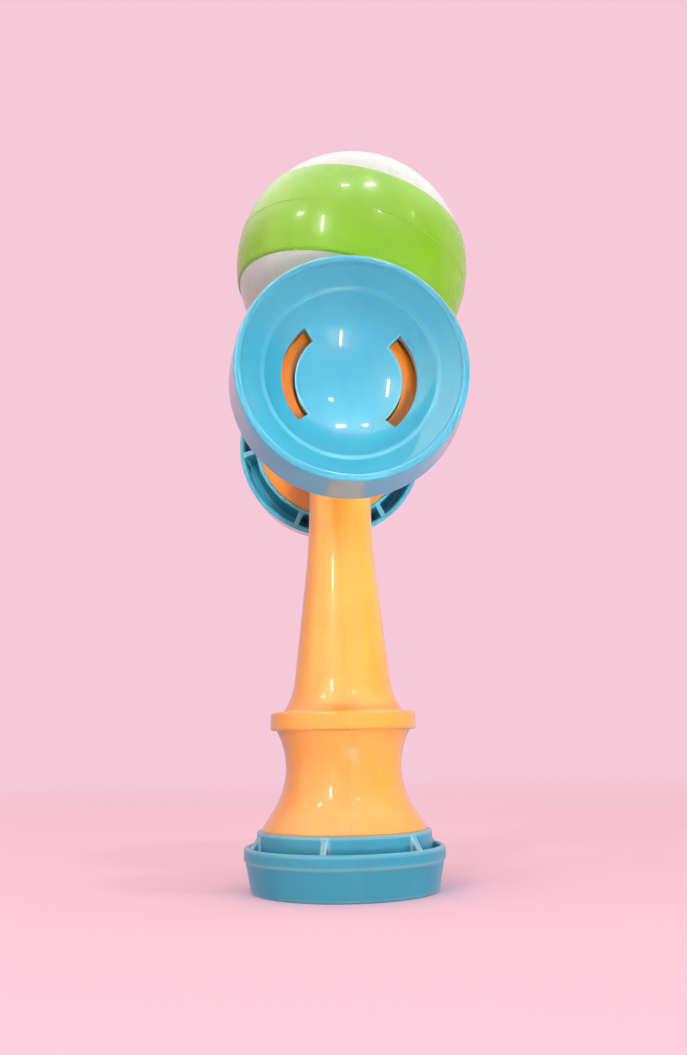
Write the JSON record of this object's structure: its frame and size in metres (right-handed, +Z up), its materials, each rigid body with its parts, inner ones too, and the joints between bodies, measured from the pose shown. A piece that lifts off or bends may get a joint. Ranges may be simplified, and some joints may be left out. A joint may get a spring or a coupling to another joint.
{
  "type": "cup and ball toy",
  "caption": "Moulded plastic cup and ball toy: a waisted handle and a crossbar carry cups and a spike, and a banded ball sits on the spike and lifts off.",
  "frame": {"origin": "centre of the base cup's rim, on the handle's axis, in the plane that the toy stands on", "axes": "+Z up the handle's axis, the crossbar along Y with the big cup facing -Y, +X to the right seen from the big cup's side"},
  "size_m": [0.0612, 0.0767, 0.1846],
  "materials": {
    "orange_plastic": "glossy orange moulded plastic",
    "blue_plastic": "glossy sky-blue moulded plastic",
    "white_plastic": "glossy white moulded plastic",
    "green_plastic": "glossy lime-green moulded plastic"
  },
  "bodies": {
    "toy": {"handle": "orange_plastic", "crossbar": "orange_plastic", "big_cup": "blue_plastic", "small_cup": "blue_plastic", "base_cup": "blue_plastic"},
    "ball": {"ball_upper_cap": "white_plastic", "ball_upper_band": "green_plastic", "ball_lower_band": "green_plastic", "ball_lower_cap": "white_plastic"}
  },
  "joints": [
    {"name": "ball_lift", "type": "slide", "parent": "toy", "child": "ball", "axis": [0, 0, 1], "range_m": [0, 0.06]}
  ]
}
